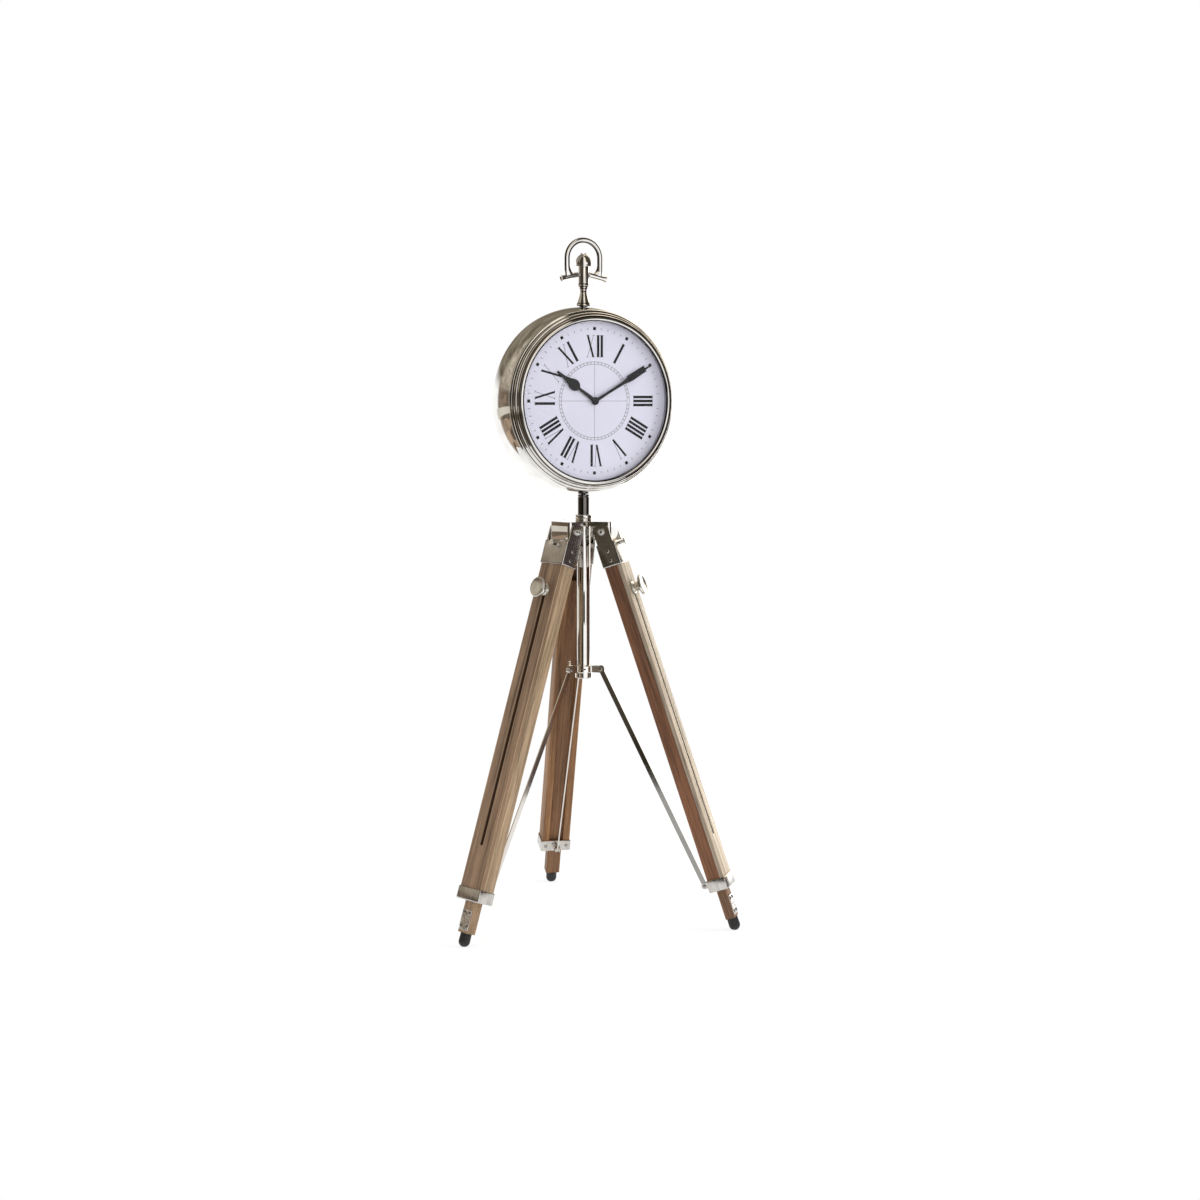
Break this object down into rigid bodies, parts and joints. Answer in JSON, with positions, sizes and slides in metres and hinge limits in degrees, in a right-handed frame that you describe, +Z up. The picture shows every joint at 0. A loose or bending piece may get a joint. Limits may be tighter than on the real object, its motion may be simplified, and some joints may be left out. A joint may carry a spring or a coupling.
{
  "type": "table clock",
  "caption": "Round quartz clock head with a bail, on a pole with a folding wooden tripod of sliding legs and flat stays.",
  "frame": {"origin": "on the floor, under the middle of the box round the three feet", "axes": "+Z up, the dial faces -Y, +X to the right of someone who reads the dial"},
  "size_m": [0.3992, 0.3919, 0.973],
  "materials": {
    "polished_nickel": "mirror polished nickel plate",
    "ring_nickel": "bright ring, darkened",
    "brushed_nickel": "brushed nickel plate",
    "satin_nickel": "satin nickel plate",
    "steel": "plain steel",
    "clear_glass": "clear float glass",
    "dial_white": "printed white enamel",
    "hand_black": "satin black paint",
    "black_plastic": "moulded black",
    "battery_wrap": "plain wrapped cell",
    "leg_wood": "oiled hardwood",
    "inner_wood": "oiled hardwood",
    "foot_rubber": "moulded black rubber"
  },
  "bodies": {
    "stand": {"hub": "polished_nickel", "hub_collar": "polished_nickel", "pole_tube": "polished_nickel", "hinge_bolts": "polished_nickel", "hinge_sleeves": "polished_nickel"},
    "head": {"stem": "polished_nickel", "case": "polished_nickel", "case_nuts": "steel", "bezel": "polished_nickel", "glass": "clear_glass", "dial_ring": "ring_nickel", "dial": "dial_white", "movement": "black_plastic", "battery": "battery_wrap", "dial_nut": "steel", "back_cover": "polished_nickel", "back_screws": "steel", "crown_post": "polished_nickel", "crown_cap": "polished_nickel", "bail_pin": "polished_nickel"},
    "bail": {"bail": "polished_nickel"},
    "hour_hand": {"hour_hand": "hand_black"},
    "minute_hand": {"minute_hand": "hand_black"},
    "set_knob": {"set_knob": "black_plastic"},
    "stay_collar": {"stay_collar": "polished_nickel", "stay_pins": "steel"},
    "wing_screw": {"wing_screw": "polished_nickel"},
    "leg_a": {"outer_leg_a": "leg_wood", "top_cap_a": "brushed_nickel", "shoe_a": "brushed_nickel", "leg_screws_a": "steel"},
    "inner_leg_a": {"inner_leg_a": "inner_wood", "foot_a": "foot_rubber", "foot_plate_a": "polished_nickel", "foot_screws_a": "steel"},
    "clamp_knob_a": {"clamp_knob_a": "satin_nickel"},
    "thumb_screw_a": {"thumb_screw_a": "polished_nickel"},
    "stay_a": {"stay_a": "polished_nickel"},
    "leg_b": {"outer_leg_b": "leg_wood", "top_cap_b": "brushed_nickel", "shoe_b": "brushed_nickel", "leg_screws_b": "steel"},
    "inner_leg_b": {"inner_leg_b": "inner_wood", "foot_b": "foot_rubber", "foot_plate_b": "polished_nickel", "foot_screws_b": "steel"},
    "clamp_knob_b": {"clamp_knob_b": "satin_nickel"},
    "thumb_screw_b": {"thumb_screw_b": "polished_nickel"},
    "stay_b": {"stay_b": "polished_nickel"},
    "leg_c": {"outer_leg_c": "leg_wood", "top_cap_c": "brushed_nickel", "shoe_c": "brushed_nickel", "leg_screws_c": "steel"},
    "inner_leg_c": {"inner_leg_c": "inner_wood", "foot_c": "foot_rubber", "foot_plate_c": "polished_nickel", "foot_screws_c": "steel"},
    "clamp_knob_c": {"clamp_knob_c": "satin_nickel"},
    "thumb_screw_c": {"thumb_screw_c": "polished_nickel"},
    "stay_c": {"stay_c": "polished_nickel"}
  },
  "joints": [
    {"name": "head_swivel", "type": "hinge", "parent": "stand", "child": "head", "pos_m": [0.02402, -0.03383, 0.58451], "axis": [0, 0, 1], "continuous": true},
    {"name": "bail_swing", "type": "hinge", "parent": "head", "child": "bail", "pos_m": [0.02402, -0.03383, 0.92151], "axis": [1, 0, 0], "range_deg": [-90, 90]},
    {"name": "minute_hand_turn", "type": "hinge", "parent": "head", "child": "minute_hand", "pos_m": [0.02402, -0.03383, 0.74501], "axis": [0, 1, 0], "continuous": true},
    {"name": "hour_hand_turn", "type": "hinge", "parent": "head", "child": "hour_hand", "pos_m": [0.02402, -0.03383, 0.74501], "axis": [0, 1, 0], "continuous": true},
    {"name": "set_knob_turn", "type": "hinge", "parent": "head", "child": "set_knob", "pos_m": [0.02402, -0.03383, 0.75501], "axis": [0, 1, 0], "continuous": true},
    {"name": "stay_collar_slide", "type": "slide", "parent": "stand", "child": "stay_collar", "axis": [0, 0, 1], "range_m": [0, 0.01782]},
    {"name": "wing_screw_turn", "type": "hinge", "parent": "stay_collar", "child": "wing_screw", "pos_m": [0.02402, -0.03383, 0.36401], "axis": [-0.7385, 0.6743, 0], "range_deg": [0, 360]},
    {"name": "leg_a_fold", "type": "hinge", "parent": "stand", "child": "leg_a", "pos_m": [-0.00743, -0.0438, 0.56201], "axis": [0.3024, -0.9532, 0], "range_deg": [0, 16]},
    {"name": "inner_leg_a_slide", "type": "slide", "parent": "leg_a", "child": "inner_leg_a", "axis": [-0.3103, -0.0984, -0.9455], "range_m": [0, 0.3635]},
    {"name": "clamp_knob_a_turn", "type": "hinge", "parent": "inner_leg_a", "child": "clamp_knob_a", "pos_m": [-0.0349, -0.05251, 0.47833], "axis": [-0.9013, -0.2859, 0.3256], "range_deg": [0, 360]},
    {"name": "thumb_screw_a_turn", "type": "hinge", "parent": "leg_a", "child": "thumb_screw_a", "pos_m": [-0.01426, -0.04597, 0.54121], "axis": [-0.9013, -0.2859, 0.3256], "range_deg": [0, 360]},
    {"name": "stay_a_turn", "type": "hinge", "parent": "leg_a", "child": "stay_a", "pos_m": [-0.1481, -0.08843, 0.05969], "axis": [0.3024, -0.9532, 0], "range_deg": [0, 9.28]},
    {"name": "leg_b_fold", "type": "hinge", "parent": "stand", "child": "leg_b", "pos_m": [0.03111, -0.00159, 0.56201], "axis": [-0.9767, 0.2147, 0], "range_deg": [0, 16]},
    {"name": "inner_leg_b_slide", "type": "slide", "parent": "leg_b", "child": "inner_leg_b", "axis": [0.0699, 0.318, -0.9455], "range_m": [0, 0.3635]},
    {"name": "clamp_knob_b_turn", "type": "hinge", "parent": "inner_leg_b", "child": "clamp_knob_b", "pos_m": [0.0373, 0.02655, 0.47833], "axis": [0.203, 0.9235, 0.3256], "range_deg": [0, 360]},
    {"name": "thumb_screw_b_turn", "type": "hinge", "parent": "leg_b", "child": "thumb_screw_b", "pos_m": [0.03265, 0.0054, 0.54121], "axis": [0.203, 0.9235, 0.3256], "range_deg": [0, 360]},
    {"name": "stay_b_turn", "type": "hinge", "parent": "leg_b", "child": "stay_b", "pos_m": [0.0628, 0.14254, 0.05969], "axis": [-0.9767, 0.2147, 0], "range_deg": [0, 9.28]},
    {"name": "leg_c_fold", "type": "hinge", "parent": "stand", "child": "leg_c", "pos_m": [0.04839, -0.05608, 0.56201], "axis": [0.6743, 0.7385, 0], "range_deg": [0, 16]},
    {"name": "inner_leg_c_slide", "type": "slide", "parent": "leg_c", "child": "inner_leg_c", "axis": [0.2404, -0.2195, -0.9455], "range_m": [0, 0.3635]},
    {"name": "clamp_knob_c_turn", "type": "hinge", "parent": "inner_leg_c", "child": "clamp_knob_c", "pos_m": [0.06967, -0.07551, 0.47833], "axis": [0.6982, -0.6376, 0.3256], "range_deg": [0, 360]},
    {"name": "thumb_screw_c_turn", "type": "hinge", "parent": "leg_c", "child": "thumb_screw_c", "pos_m": [0.05368, -0.06091, 0.54121], "axis": [0.6982, -0.6376, 0.3256], "range_deg": [0, 360]},
    {"name": "stay_c_turn", "type": "hinge", "parent": "leg_c", "child": "stay_c", "pos_m": [0.15737, -0.15559, 0.05969], "axis": [0.6743, 0.7385, 0], "range_deg": [0, 9.28]}
  ],
  "couplings": [
    {"joint": "hour_hand_turn", "follows": "minute_hand_turn", "ratio": 0.083333},
    {"joint": "set_knob_turn", "follows": "minute_hand_turn", "ratio": -1},
    {"joint": "stay_collar_slide", "follows": "leg_a_fold", "m_per_rad": 0.063813},
    {"joint": "stay_a_turn", "follows": "leg_a_fold", "ratio": 0.58},
    {"joint": "leg_b_fold", "follows": "leg_a_fold", "ratio": 1},
    {"joint": "stay_b_turn", "follows": "leg_a_fold", "ratio": 0.58},
    {"joint": "leg_c_fold", "follows": "leg_a_fold", "ratio": 1},
    {"joint": "stay_c_turn", "follows": "leg_a_fold", "ratio": 0.58}
  ]
}
